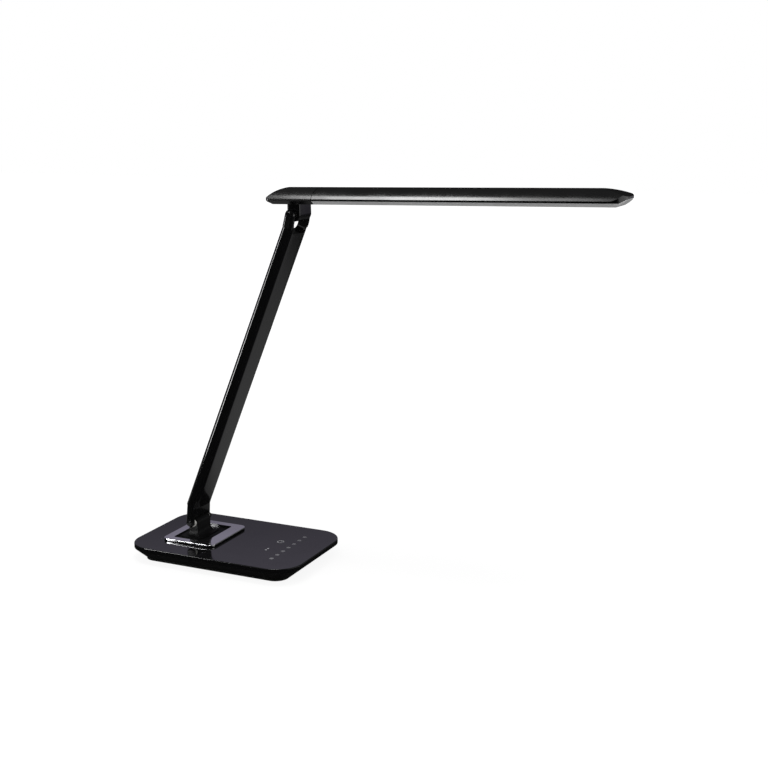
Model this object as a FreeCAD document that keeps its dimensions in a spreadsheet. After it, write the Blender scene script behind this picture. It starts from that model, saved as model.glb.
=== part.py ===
"""LED desk lamp: weighted touch base, turntable, leaning forked arm and a long light bar on a neck.

Frame: origin under the middle of the base on the table, +Z up, +X towards the tip of the light bar.
Lengths are in millimetres, angles in degrees.
"""
import FreeCAD, Part
import Sketcher
import math
import os
import re

from FreeCAD import Placement, Rotation, Vector

# Driving dimensions, kept in the document's spreadsheet
SIZES = {
    # fits shared by all pieces
    "fit_gap": 0.05,
    "run_gap": 0.05,
    "overrun": 2,
    # base shell
    "base_len": 206.4,
    "base_wid": 135.2,
    "base_corner": 30,
    "base_top": 18.1,
    "panel_high": 5,
    "panel_skin": 2.4,
    "panel_edge": 0.8,
    "hull_inset_len": 15.2,
    "hull_inset_wid": 10.9,
    "hull_wall": 2.4,
    "cover_thick": 2.4,
    "cover_margin": 0.6,
    "foot_high": 0.6,
    "foot_rad": 7,
    "foot_inset_len": 24,
    "foot_inset_wid": 19.7,
    "post_rad": 4,
    "post_inset_len": 12,
    "post_inset_wid": 16.7,
    "screw_rad": 1.5,
    "screw_head_rad": 2.8,
    "screw_head_high": 1.2,
    "screw_bite": 7,
    # weight, electronics and inlet in the base
    "ballast_len": 134,
    "ballast_wid": 78,
    "ballast_thick": 7,
    "ballast_corner": 6,
    "ballast_hole_rad": 17,
    "ballast_x": -20.1,
    "ballast_room": 1,
    "board_gap": 2.5,
    "board_len": 28,
    "board_wid": 92,
    "board_thick": 1.6,
    "dot_inset": 3.9,
    "dot_rad": 2.3,
    "dot_pitch": 12.48,
    "jack_len": 14,
    "jack_wid": 10,
    "jack_high": 7,
    "jack_snout_rad": 3.4,
    "jack_bore_rad": 2.75,
    "jack_bore_deep": 9,
    "jack_recess": 9,
    "jack_pin_rad": 1,
    "jack_pin_len": 7.5,
    # turntable on the base
    "swivel_x": -40.8,
    "spindle_rad": 8,
    "spindle_bore_rad": 5,
    "bush_rad": 11,
    "bush_flange_rad": 14,
    "bush_flange_thick": 1.2,
    "thrust_rad": 16,
    "turn_gap": 0.3,
    "plate_thick": 0.6,
    "plate_margin": 1.2,
    "nut_rad": 12.5,
    "nut_thick": 2.2,
    "ring_len": 65.4,
    "ring_wid": 75,
    "ring_corner": 7.5,
    "ring_high": 2,
    "ring_edge": 0.5,
    "open_len": 40.8,
    "open_wid": 57,
    "open_corner": 2.5,
    "open_shift": -2.4,
    # pedestal and lower hinge
    "low_pivot_x": -47.1,
    "low_pivot_z": 34.6,
    "tongue_wid": 26,
    "low_tongue_rad": 6,
    "foot_plate_len": 28,
    "foot_plate_wid": 42,
    "foot_plate_thick": 1,
    "flare_rad": 6,
    "tongue_edge": 1,
    "pin_rad": 2,
    "cap_rad": 3.3,
    "cap_high": 1,
    "cap_bevel": 0.5,
    "washer_rad": 4.2,
    # arm
    "arm_lean": 22.15,
    "arm_reach": 369.5,
    "arm_offset": 7.5,
    "arm_wid": 40,
    "arm_deep": 11.8,
    "arm_flat": 14,
    "arm_crown_rad": 300,
    "arm_front_edge": 7.5,
    "arm_back_edge": 4,
    "tine_thick": 5,
    "tine_edge": 3,
    "low_fork_wid": 37,
    "low_ear_rad": 5,
    "low_ear_shift": 2.3,
    "low_root_back": 20,
    "low_root_front": 16,
    "low_notch": 7.5,
    "low_notch_corner": 1.5,
    "top_shift": 2.2,
    "top_ear_rad": 5.5,
    "top_root_back": 13.5,
    "top_root_front": 9,
    "top_notch": 18.5,
    "top_notch_corner": 4,
    "root_step": 0.9,
    "channel_wid": 28,
    "channel_deep": 6.6,
    "channel_low": 34,
    "channel_top": 30,
    "back_cover_thick": 1.4,
    "core_wid": 16,
    "core_thick": 2,
    "lead_wid": 6,
    "lead_thick": 1.2,
    # neck and light bar, measured from the upper pivot along the bar
    "head_pitch": 1.35,
    "neck_half": 7.25,
    "neck_shift": 1.75,
    "neck_edge": 1.2,
    "head_rear": 25.6,
    "head_front": 344.5,
    "head_wid": 46,
    "head_low": 10.6,
    "flank_high": 3.8,
    "rim_high": 1.9,
    "rim_step": 0.7,
    "crown_high": 10.7,
    "rear_run": 22,
    "front_run": 38,
    "nose_high": 3.6,
    "chin_run": 7,
    "chin_high": 3.6,
    "chin_lip": 0.6,
    "ridge_lift": 0.6,
    "tail_high": 0.2,
    "rear_chamfer": 6,
    "front_chamfer": 10,
    "bottom_wid": 34,
    "rear_corner": 4,
    "front_corner": 16,
    "head_wall": 1.8,
    "seam_at": 26.9,
    "seam_gap": 0.7,
    "spine_thick": 1.2,
    "spine_drop": 6.4,
    "spine_rear": 18,
    "spine_front_margin": 18,
    "light_wid": 12,
    "light_margin": 10,
    "light_thick": 1,
    "chip_side": 3,
    "chip_thick": 0.7,
    "neck_spindle_rad": 5,
    "neck_spindle_bore_rad": 2.2,
    "neck_spindle_seat": 5,
    "neck_bush_rad": 8,
    "neck_bush_high": 4.5,
    "neck_clip_rad": 8,
    "neck_clip_thick": 1.4,
    "cap_screw_x": 13,
    "bar_screw_rad": 1.1,
    "bar_screw_head_rad": 2,
    "bar_screw_head_high": 1,
    "bar_screw_span": 19,
    "bar_boss_rad": 2.4,
}
DOT_COUNT = 7
CHIP_COUNT = 24
BAR_SCREW_SHARES = (0.12, 0.5, 0.88)
# part of the weight's length behind its anchor
BALLAST_REAR_SHARE = 0.35
SLACK_SHARE = 0.1

doc = FreeCAD.newDocument("DeskLamp")
sheet = doc.addObject("Spreadsheet::Sheet", "Sizes")
for row, (size_name, size_value) in enumerate(SIZES.items(), start=1):
    sheet.set("A%d" % row, size_name)
    sheet.set("B%d" % row, str(size_value))
    sheet.setAlias("B%d" % row, size_name)
doc.recompute()

# Heights and places that follow from the driving dimensions
PANEL_LOW = "(base_top - panel_high)"
SKIN_LOW = "(base_top - panel_skin)"
HULL_LOW = "(foot_high + cover_thick)"
FLOOR_TOP = "(foot_high + cover_thick + hull_wall)"
BUSH_LOW = "(base_top - panel_skin - bush_flange_thick)"
NUT_LOW = "(base_top - panel_skin - bush_flange_thick - run_gap - nut_thick)"
TURN_LOW = "(base_top + turn_gap)"
PLATE_TOP = "(base_top + turn_gap + plate_thick)"
JACK_Z = "(foot_high + cover_thick + hull_wall + jack_high / 2)"
JACK_FACE = "(jack_recess - base_len / 2)"
JACK_BACK = "(hull_inset_len + hull_wall + fit_gap - base_len / 2)"
TINE_IN = "(arm_wid / 2 - tine_thick)"
TOP_PIVOT_X = "(-arm_offset - top_shift)"
HULL_SPAN = "base_len - 2 * hull_inset_len", "base_wid - 2 * hull_inset_wid"
FOOT_SPAN = HULL_SPAN[0] + " - 2 * foot_inset_len", HULL_SPAN[1] + " - 2 * foot_inset_wid"
POST_SPAN = HULL_SPAN[0] + " - 2 * post_inset_len", HULL_SPAN[1] + " - 2 * post_inset_wid"
BOARD_FRONT = "(base_len / 2 - hull_inset_len - post_inset_len - post_rad - board_gap)"
RIM_Z = "(head_low + flank_high)"
EDGE_Z = "(head_low + flank_high + rim_high)"
TOP_Z = "(head_low + flank_high + rim_high + crown_high)"
SPINE_TOP = "(head_low + flank_high + rim_high + crown_high - spine_drop)"
SPINE_LOW = "(head_low + flank_high + rim_high + crown_high - spine_drop - spine_thick)"
LIGHT_LOW = "(head_low + flank_high + rim_high + crown_high - spine_drop - spine_thick - light_thick)"
CLIP_LOW = "(head_low + neck_bush_high + run_gap)"

nodes = []


def bind(text):
    """Expression text in which every size is looked up in the spreadsheet."""
    return re.sub(r"[a-z_]+", lambda m: "Sizes." + m.group() if m.group() in SIZES else m.group(), text)


def num(text):
    """Value of an expression, for shapes that are worked out in this script."""
    return float(sheet.evalExpression(bind(text)))


def node(piece, label):
    """Hand a finished sub-part in under its own label."""
    piece.Label = label
    nodes.append(piece)
    return piece


def bind_base(piece, x="0", y="0", z="0"):
    """Tie a piece's place to sizes."""
    for axis, text in zip("xyz", (x, y, z)):
        piece.setExpression("Placement.Base." + axis, bind(text))


# Primitives, booleans and groups


def box(name, x, y, z):
    """Box between three (low, high) pairs of expressions."""
    piece = doc.addObject("Part::Box", name)
    for size, axis, (low, high) in zip(("Length", "Width", "Height"), "xyz", (x, y, z)):
        piece.setExpression(size, bind("(%s) - (%s)" % (high, low)))
        piece.setExpression("Placement.Base." + axis, bind(low))
    return piece


TURN_TO_AXIS = {
    "x": Rotation(Vector(0, 1, 0), 90),
    "y": Rotation(Vector(1, 0, 0), -90),
    "z": Rotation(),
}


def rod(name, radius, axis, low, high, centre=("0", "0")):
    """Cylinder along an axis from low to high; centre gives its other two coordinates in X, Y, Z order."""
    piece = doc.addObject("Part::Cylinder", name)
    piece.Placement = Placement(Vector(), TURN_TO_AXIS[axis])
    piece.setExpression("Radius", bind(radius))
    piece.setExpression("Height", bind("(%s) - (%s)" % (high, low)))
    place = list(centre)
    place.insert("xyz".index(axis), low)
    bind_base(piece, *place)
    return piece


def taper(name, low_radius, high_radius, axis, low, high, centre=("0", "0")):
    """Cone frustum along an axis from low to high."""
    piece = doc.addObject("Part::Cone", name)
    piece.Placement = Placement(Vector(), TURN_TO_AXIS[axis])
    piece.setExpression("Radius1", bind(low_radius))
    piece.setExpression("Radius2", bind(high_radius))
    piece.setExpression("Height", bind("(%s) - (%s)" % (high, low)))
    place = list(centre)
    place.insert("xyz".index(axis), low)
    bind_base(piece, *place)
    return piece


def fuse(name, parts):
    """One solid from several."""
    piece = doc.addObject("Part::MultiFuse", name)
    piece.Shapes = parts
    piece.Refine = True
    return piece


def cut(name, base, tools):
    """Base with all tools taken away."""
    piece = doc.addObject("Part::Cut", name)
    piece.Base = base
    piece.Tool = tools[0] if len(tools) == 1 else fuse(name + "Tools", tools)
    piece.Refine = True
    return piece


def group(name, parts):
    """Separate solids that share one node."""
    piece = doc.addObject("Part::Compound", name)
    piece.Links = parts
    return piece


def tube(name, outer, inner, axis, low, high, centre=("0", "0")):
    """Ring or sleeve."""
    solid = rod(name + "Outer", outer, axis, low, high, centre)
    hole = rod(name + "Hole", inner, axis, "%s - overrun" % low, "%s + overrun" % high, centre)
    return cut(name, solid, [hole])


# Sketched bodies


def new_body(name):
    """Empty body for sketched features."""
    return doc.addObject("PartDesign::Body", name)


def new_sketch(body, name, plane, lift="0"):
    """Sketch on one of the body's own origin planes, lifted along its normal."""
    sketch = body.newObject("Sketcher::SketchObject", name)
    support = [feature for feature in body.Origin.OriginFeatures if feature.Role == plane][0]
    sketch.AttachmentSupport = [(support, "")]
    sketch.MapMode = "FlatFace"
    sketch.setExpression("AttachmentOffset.Base.z", bind(lift))
    return sketch


def constrain(sketch, expression, *constraint):
    """Add a dimension and tie it to an expression."""
    index = sketch.addConstraint(Sketcher.Constraint(*constraint, num(expression)))
    sketch.setExpression("Constraints[%d]" % index, bind(expression))


def rounded_rectangle(sketch, length, width, corner):
    """Rounded rectangle about the sketch's origin, with tied length, width and corner radius."""
    radius = num(corner)
    half_x = num(length) / 2
    half_y = num(width) / 2
    in_x = half_x - radius
    in_y = half_y - radius
    up = Vector(0, 0, 1)
    quarter = math.pi / 2
    corners = [(in_x, -in_y), (in_x, in_y), (-in_x, in_y), (-in_x, -in_y)]
    runs = [
        (Vector(-in_x, -half_y, 0), Vector(in_x, -half_y, 0)),
        (Vector(half_x, -in_y, 0), Vector(half_x, in_y, 0)),
        (Vector(in_x, half_y, 0), Vector(-in_x, half_y, 0)),
        (Vector(-half_x, in_y, 0), Vector(-half_x, -in_y, 0)),
    ]
    for run, (start, end) in enumerate(runs):
        centre = Vector(*corners[run], 0)
        sketch.addGeometry(Part.LineSegment(start, end))
        first = (run - 1) * quarter
        sketch.addGeometry(Part.ArcOfCircle(Part.Circle(centre, up, radius), first, first + quarter))
    for run in range(4):
        line = 2 * run
        arc = line + 1
        following = (line + 2) % 8
        sketch.addConstraint(Sketcher.Constraint("Tangent", line, 2, arc, 1))
        sketch.addConstraint(Sketcher.Constraint("Tangent", arc, 2, following, 1))
        sketch.addConstraint(Sketcher.Constraint("Vertical" if run % 2 else "Horizontal", line))
        if run:
            sketch.addConstraint(Sketcher.Constraint("Equal", 1, arc))
    sketch.addConstraint(Sketcher.Constraint("Symmetric", 1, 3, 5, 3, -1, 1))
    constrain(sketch, corner, "Radius", 1)
    constrain(sketch, "(%s) - 2 * (%s)" % (length, corner), "DistanceX", 5, 3, 3, 3)
    constrain(sketch, "(%s) - 2 * (%s)" % (width, corner), "DistanceY", 1, 3, 3, 3)


def arch(sketch, half, rise):
    """Upright slab profile with a half-round top: half is its radius, rise the height of its centre."""
    radius = num(half)
    high = num(rise)
    sketch.addGeometry(Part.LineSegment(Vector(-radius, 0, 0), Vector(radius, 0, 0)))
    sketch.addGeometry(Part.LineSegment(Vector(radius, 0, 0), Vector(radius, high, 0)))
    circle = Part.Circle(Vector(0, high, 0), Vector(0, 0, 1), radius)
    sketch.addGeometry(Part.ArcOfCircle(circle, 0, math.pi))
    sketch.addGeometry(Part.LineSegment(Vector(-radius, high, 0), Vector(-radius, 0, 0)))
    sketch.addConstraint(Sketcher.Constraint("Coincident", 0, 2, 1, 1))
    sketch.addConstraint(Sketcher.Constraint("Tangent", 1, 2, 2, 1))
    sketch.addConstraint(Sketcher.Constraint("Tangent", 2, 2, 3, 1))
    sketch.addConstraint(Sketcher.Constraint("Coincident", 3, 2, 0, 1))
    sketch.addConstraint(Sketcher.Constraint("Horizontal", 0))
    sketch.addConstraint(Sketcher.Constraint("Vertical", 1))
    sketch.addConstraint(Sketcher.Constraint("Symmetric", 0, 1, 0, 2, -1, 1))
    constrain(sketch, half, "Radius", 2)
    constrain(sketch, rise, "DistanceY", 1, 1, 1, 2)


def pad(body, sketch, name, length, midplane=False):
    """Extrude a sketch by a tied length."""
    feature = body.newObject("PartDesign::Pad", name)
    feature.Profile = sketch
    feature.Midplane = midplane
    feature.setExpression("Length", bind(length))
    doc.recompute()
    return feature


def pocket(body, sketch, name, length):
    """Sink a sketch into the body by a tied length, towards the sketch's normal."""
    feature = body.newObject("PartDesign::Pocket", name)
    feature.Profile = sketch
    feature.Reversed = True
    feature.setExpression("Length", bind(length))
    before = feature.BaseFeature.Shape.Volume if feature.BaseFeature else 0
    doc.recompute()
    if not feature.Shape.Volume < before:
        raise RuntimeError(name + " removed nothing")
    return feature


def fillet(body, base, name, radius, pick):
    """Round the edges of a feature that pick accepts."""
    doc.recompute()
    names = ["Edge%d" % (i + 1) for i, edge in enumerate(base.Shape.Edges) if pick(edge)]
    feature = body.newObject("PartDesign::Fillet", name)
    feature.Base = (base, names)
    feature.setExpression("Radius", bind(radius))
    doc.recompute()
    return feature


def slack():
    """Distance under which two places count as the same."""
    return num("fit_gap") * SLACK_SHARE


def lies_at(edge, axis, value):
    """Whether both ends of an edge lie in the plane where one coordinate has this value."""
    return all(abs(getattr(vertex.Point, axis) - value) < slack() for vertex in edge.Vertexes)


def plate(name, length, width, corner, low, thick):
    """Body that is one rounded-rectangle plate, and its first feature."""
    body = new_body(name)
    sketch = new_sketch(body, name + "Outline", "XY_Plane", low)
    rounded_rectangle(sketch, length, width, corner)
    return body, pad(body, sketch, name + "Pad", thick)


# Base: hull tray, glossy top panel, cover, feet, weight and electronics


def corner_places(length, width):
    """Four places at the corners of a rectangle."""
    return [("%s(%s) / 2" % (a, length), "%s(%s) / 2" % (b, width)) for a in ("-", "") for b in ("-", "")]


def base_tray():
    body = new_body("TrayHull")
    low = new_sketch(body, "HullLow", "XY_Plane", HULL_LOW)
    rounded_rectangle(
        low, "base_len - 2 * hull_inset_len", "base_wid - 2 * hull_inset_wid", "base_corner - hull_inset_len"
    )
    high = new_sketch(body, "HullHigh", "XY_Plane", PANEL_LOW)
    rounded_rectangle(high, "base_len", "base_wid", "base_corner")
    loft = body.newObject("PartDesign::AdditiveLoft", "HullLoft")
    loft.Profile = low
    loft.Sections = [high]
    loft.Ruled = True
    doc.recompute()
    inner_low = new_sketch(body, "HollowLow", "XY_Plane", FLOOR_TOP)
    rounded_rectangle(
        inner_low,
        "base_len - 2 * hull_inset_len - 2 * hull_wall",
        "base_wid - 2 * hull_inset_wid - 2 * hull_wall",
        "base_corner - hull_inset_len - hull_wall",
    )
    inner_high = new_sketch(body, "HollowHigh", "XY_Plane", PANEL_LOW)
    rounded_rectangle(
        inner_high, "base_len - 4 * hull_wall", "base_wid - 4 * hull_wall", "base_corner - 2 * hull_wall"
    )
    hollow = body.newObject("PartDesign::SubtractiveLoft", "HollowLoft")
    hollow.Profile = inner_low
    hollow.Sections = [inner_high]
    hollow.Ruled = True
    doc.recompute()
    body.Tip = hollow
    tools = [
        rod("TrayScrewHole%d" % i, "screw_rad + fit_gap", "z", "%s - overrun" % HULL_LOW,
            "%s + overrun" % FLOOR_TOP, at)
        for i, at in enumerate(corner_places(*POST_SPAN))
    ]
    tools.append(
        rod("JackHole", "jack_snout_rad + fit_gap", "x", "-base_len / 2 - overrun", JACK_BACK, ("0", JACK_Z))
    )
    node(cut("BaseTray", body, tools), "base_tray")


def top_panel():
    body, top = plate("PanelPlate", "base_len", "base_wid", "base_corner", PANEL_LOW, "panel_high")
    fillet(body, top, "PanelEdge", "panel_edge", lambda e: lies_at(e, "z", num("base_top")))
    under = new_sketch(body, "PanelHollow", "XY_Plane", PANEL_LOW)
    rounded_rectangle(
        under, "base_len - 2 * hull_wall - 2 * panel_edge", "base_wid - 2 * hull_wall - 2 * panel_edge",
        "base_corner - hull_wall - panel_edge"
    )
    body.Tip = pocket(body, under, "PanelPocket", "panel_high - panel_skin")
    posts = [
        rod("PanelPost%d" % i, "post_rad", "z", FLOOR_TOP, SKIN_LOW, at)
        for i, at in enumerate(corner_places(*POST_SPAN))
    ]
    holes = [
        rod("PostHole%d" % i, "screw_rad + fit_gap", "z", "%s - overrun" % FLOOR_TOP,
            "%s + screw_bite + fit_gap" % FLOOR_TOP, at)
        for i, at in enumerate(corner_places(*POST_SPAN))
    ]
    skin = ("%s - overrun" % SKIN_LOW, "base_top + overrun")
    holes.append(rod("BushHole", "bush_rad + fit_gap", "z", *skin, ("swivel_x", "0")))
    for i in range(DOT_COUNT):
        holes.append(rod("DotHole%d" % i, "dot_rad + fit_gap", "z", *skin, dot_place(i)))
    node(cut("TopPanel", fuse("PanelWithPosts", [body] + posts), holes), "top_panel")


def dot_place(i):
    """Centre of one indicator in the row along the front of the touch field."""
    return "%s - dot_inset" % BOARD_FRONT, "dot_pitch * %s" % (i - (DOT_COUNT - 1) / 2)


def bottom_cover():
    body = plate(
        "CoverPlate", "base_len - 2 * hull_inset_len - 2 * cover_margin",
        "base_wid - 2 * hull_inset_wid - 2 * cover_margin", "base_corner - hull_inset_len - cover_margin",
        "foot_high", "cover_thick"
    )[0]
    tools = []
    for i, at in enumerate(corner_places(*POST_SPAN)):
        tools.append(
            rod("CoverHole%d" % i, "screw_rad + fit_gap", "z", "foot_high - overrun",
                "%s + overrun" % HULL_LOW, at)
        )
        tools.append(
            rod("CoverSink%d" % i, "screw_head_rad + fit_gap", "z", "foot_high - overrun",
                "foot_high + screw_head_high", at)
        )
    node(cut("BottomCover", body, tools), "bottom_cover")


def cover_screws():
    screws = []
    for i, at in enumerate(corner_places(*POST_SPAN)):
        head = rod("ScrewHead%d" % i, "screw_head_rad", "z", "foot_high", "foot_high + screw_head_high", at)
        shank = rod("ScrewShank%d" % i, "screw_rad", "z", "foot_high + screw_head_high",
                    "%s + screw_bite" % FLOOR_TOP, at)
        screws.append(fuse("CoverScrew%d" % i, [head, shank]))
    node(group("CoverScrews", screws), "cover_screws")


def rubber_feet():
    feet = [
        rod("Foot%d" % i, "foot_rad", "z", "0", "foot_high", at)
        for i, at in enumerate(corner_places(*FOOT_SPAN) + [("0", "0")])
    ]
    node(group("RubberFeet", feet), "rubber_feet")


def ballast_plate():
    body = plate("BallastSlab", "ballast_len", "ballast_wid", "ballast_corner", FLOOR_TOP, "ballast_thick")[0]
    bind_base(body, "ballast_x + ballast_len * %s" % (0.5 - BALLAST_REAR_SHARE), "0", "0")
    through = ("%s - overrun" % FLOOR_TOP, "%s + ballast_thick + overrun" % FLOOR_TOP)
    tools = [rod("BallastHole", "ballast_hole_rad", "z", *through, ("swivel_x", "0"))]
    tools.append(
        box("BallastJackRoom", (JACK_BACK, "%s + jack_len + ballast_room" % JACK_BACK),
            ("-jack_wid / 2 - ballast_room", "jack_wid / 2 + ballast_room"), through)
    )
    for i, at in enumerate(corner_places(*POST_SPAN)):
        tools.append(rod("BallastPostRoom%d" % i, "post_rad + ballast_room", "z", *through, at))
    node(cut("BallastPlate", body, tools), "ballast_plate")


def control_board():
    board = box(
        "ControlBoard", ("%s - board_len" % BOARD_FRONT, BOARD_FRONT),
        ("-board_wid / 2", "board_wid / 2"), ("%s - board_thick" % SKIN_LOW, SKIN_LOW)
    )
    node(board, "control_board")


def indicator_lenses():
    lenses = [rod("Dot%d" % i, "dot_rad", "z", SKIN_LOW, "base_top", dot_place(i)) for i in range(DOT_COUNT)]
    node(group("IndicatorLenses", lenses), "indicator_lenses")


def dc_jack():
    shell = box(
        "JackShell", (JACK_BACK, "%s + jack_len" % JACK_BACK), ("-jack_wid / 2", "jack_wid / 2"),
        (FLOOR_TOP, "%s + jack_high" % FLOOR_TOP)
    )
    snout = rod("JackSnout", "jack_snout_rad", "x", JACK_FACE, JACK_BACK, ("0", JACK_Z))
    bore_end = "(%s + jack_bore_deep)" % JACK_FACE
    bore = rod("JackBore", "jack_bore_rad", "x", "%s - overrun" % JACK_FACE, bore_end, ("0", JACK_Z))
    pin = rod("JackPin", "jack_pin_rad", "x", "%s - jack_pin_len" % bore_end, "%s + fit_gap" % bore_end,
              ("0", JACK_Z))
    node(fuse("DcJack", [cut("JackBored", fuse("JackBody", [shell, snout]), [bore]), pin]), "dc_jack")


def swivel_bush():
    centre = ("swivel_x", "0")
    sleeve = rod("BushSleeve", "bush_rad", "z", SKIN_LOW, "base_top", centre)
    flange = rod("BushFlange", "bush_flange_rad", "z", BUSH_LOW, SKIN_LOW, centre)
    hole = rod("BushBore", "spindle_rad + run_gap", "z", "%s - overrun" % BUSH_LOW, "base_top + overrun",
               centre)
    node(cut("SwivelBush", fuse("BushBody", [sleeve, flange]), [hole]), "swivel_bush")
    washer = tube("ThrustWasher", "thrust_rad", "bush_rad + fit_gap", "z", "base_top", TURN_LOW, centre)
    node(washer, "thrust_washer")


# Turntable: plate, chrome frame, pedestal, spindle and its nut


def turntable_plate():
    body = plate(
        "TurnPlate", "ring_len - 2 * plate_margin", "ring_wid - 2 * plate_margin",
        "ring_corner - plate_margin", TURN_LOW, "plate_thick"
    )[0]
    bind_base(body, "swivel_x")
    hole = rod("PlateWireHole", "spindle_bore_rad", "z", "%s - overrun" % TURN_LOW,
               "%s + overrun" % PLATE_TOP, ("swivel_x", "0"))
    node(cut("TurntablePlate", body, [hole]), "turntable_plate")


def frame_ring():
    body, top = plate("RingPlate", "ring_len", "ring_wid", "ring_corner", PLATE_TOP, "ring_high")
    fillet(body, top, "RingEdge", "ring_edge", lambda e: lies_at(e, "z", num("%s + ring_high" % PLATE_TOP)))
    bind_base(body, "swivel_x")
    opening = plate(
        "RingOpening", "open_len", "open_wid", "open_corner", "base_top", "ring_high + overrun"
    )[0]
    bind_base(opening, "swivel_x + open_shift")
    node(cut("FrameRing", body, [opening]), "frame_ring")


def pedestal():
    body = new_body("Pedestal")
    outline = new_sketch(body, "PedestalFoot", "XY_Plane")
    rounded_rectangle(outline, "foot_plate_len", "foot_plate_wid", "ring_corner - plate_margin")
    pad(body, outline, "PedestalFootPad", "foot_plate_thick")
    side = new_sketch(body, "PedestalSide", "XZ_Plane")
    arch(side, "low_tongue_rad", "low_pivot_z - %s" % PLATE_TOP)
    tongue = pad(body, side, "PedestalTongue", "tongue_wid", True)
    foot_top = num("foot_plate_thick")
    half = num("tongue_wid / 2")
    rim = fillet(
        body, tongue, "PedestalEdge", "tongue_edge",
        lambda e: (lies_at(e, "y", half) or lies_at(e, "y", -half)) and not lies_at(e, "z", foot_top)
    )
    reach_x = num("foot_plate_len / 2")
    reach_y = num("foot_plate_wid / 2")
    fillet(
        body, rim, "PedestalFlare", "flare_rad",
        lambda e: lies_at(e, "z", foot_top)
        and e.BoundBox.XMax < reach_x - foot_top and e.BoundBox.YMax < reach_y - foot_top
        and e.BoundBox.XMin > foot_top - reach_x and e.BoundBox.YMin > foot_top - reach_y
    )
    bind_base(body, "low_pivot_x", "0", PLATE_TOP)
    pivot = ("low_pivot_x", "low_pivot_z")
    bore = rod("PedestalBore", "pin_rad + run_gap", "y", "-arm_wid", "arm_wid", pivot)
    node(cut("PedestalBlock", body, [bore]), "pedestal")


def swivel_spindle():
    centre = ("swivel_x", "0")
    spindle = tube("SwivelSpindle", "spindle_rad", "spindle_bore_rad", "z", NUT_LOW, TURN_LOW, centre)
    node(spindle, "swivel_spindle")
    nut_top = "%s + nut_thick" % NUT_LOW
    nut = tube("SpindleNut", "nut_rad", "spindle_rad + fit_gap", "z", NUT_LOW, nut_top, centre)
    node(nut, "spindle_nut")


# Arm, in its own frame: origin at the lower pivot, Z along the straight bar, X to its front


def place_on_arm(piece):
    """Lean a piece that was made in the arm's frame."""
    piece.Placement = Placement(Vector(), Rotation(Vector(0, 1, 0), num("arm_lean")))
    piece.setExpression("Placement.Rotation.Angle", bind("arm_lean"))
    bind_base(piece, "low_pivot_x", "0", "low_pivot_z")
    return piece


def arc(start, middle, end):
    """Edge of an arc through three points."""
    return Part.Arc(start, middle, end).toShape()


def line(start, end):
    """Straight edge."""
    return Part.makeLine(start, end)


def arm_section(low):
    """Cross-section of the bar: flat middle, crowned front, rounded edges, flat back."""
    half = num("arm_wid / 2")
    flat = num("arm_flat / 2")
    crown = num("arm_crown_rad")
    front_round = num("arm_front_edge")
    back_round = num("arm_back_edge")
    axis = -num("arm_offset")
    front = axis + num("arm_deep / 2")
    back = axis - num("arm_deep / 2")
    turn = math.asin((half - flat - front_round) / (crown - front_round))

    def on_crown(angle, side):
        return Vector(front - crown + crown * math.cos(angle), side * (flat + crown * math.sin(angle)), low)

    corner_x = front - (crown - front_round) * (1 - math.cos(turn)) - front_round
    corner_y = half - front_round

    def on_corner(angle, side):
        return Vector(corner_x + front_round * math.cos(angle),
                      side * (corner_y + front_round * math.sin(angle)), low)

    def on_back(angle, side):
        return Vector(back + back_round - back_round * math.cos(angle),
                      side * (half - back_round + back_round * math.sin(angle)), low)

    right = math.pi / 2
    edges = [line(on_crown(0, -1), on_crown(0, 1))]
    for side in (1, -1):
        edges.append(arc(on_crown(0, side), on_crown(turn / 2, side), on_crown(turn, side)))
        edges.append(arc(on_crown(turn, side), on_corner((turn + right) / 2, side), on_corner(right, side)))
        edges.append(line(on_corner(right, side), on_back(right, side)))
        edges.append(arc(on_back(right, side), on_back(right / 2, side), on_back(0, side)))
    edges.append(line(on_back(0, 1), on_back(0, -1)))
    return Part.Face(Part.Wire(Part.__sortEdges__(edges)))


def touch_point(point, centre, radius, side):
    """Where a line from a point touches a circle; side picks which of the two."""
    away = point - centre
    reach = math.hypot(away.x, away.z)
    turn = math.atan2(away.z, away.x) + side * math.acos(radius / reach)
    return centre + Vector(radius * math.cos(turn), 0, radius * math.sin(turn))


def fork_end(centre, radius, back, front, half):
    """End of the arm out to half each side: round near its pivot, tangent to the bar, with rounded edges."""
    away = centre - (back + front) / 2
    tip = centre + away * (radius / away.Length)
    up = 1 if away.z > 0 else -1
    back_touch = touch_point(back, centre, radius, -up)
    front_touch = touch_point(front, centre, radius, up)
    shoulder = Vector(front.x, 0, back.z)
    wire = Part.Wire([
        line(back, back_touch),
        arc(back_touch, tip, front_touch),
        line(front_touch, front),
        line(front, shoulder),
        line(shoulder, back),
    ])
    solid = Part.Face(wire).extrude(Vector(0, 2 * half, 0))
    solid.translate(Vector(0, -half, 0))
    rims = [
        edge for edge in solid.Edges
        if (lies_at(edge, "y", half) or lies_at(edge, "y", -half)) and not lies_at(edge, "z", back.z)
    ]
    return solid.makeFillet(num("tine_edge"), rims)


def notch(low, high, rounded_at, corner):
    """Slot between a fork's tines, right through from front to back, with rounded inner corners."""
    half = num(TINE_IN)
    reach = num("arm_wid")
    slot = Part.makeBox(2 * reach, 2 * half, high - low, Vector(-reach - num("arm_offset") / 2, -half, low))
    corners = [e for e in slot.Edges if lies_at(e, "z", rounded_at) and e.BoundBox.XLength > half]
    return slot.makeFillet(corner, corners)


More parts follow.
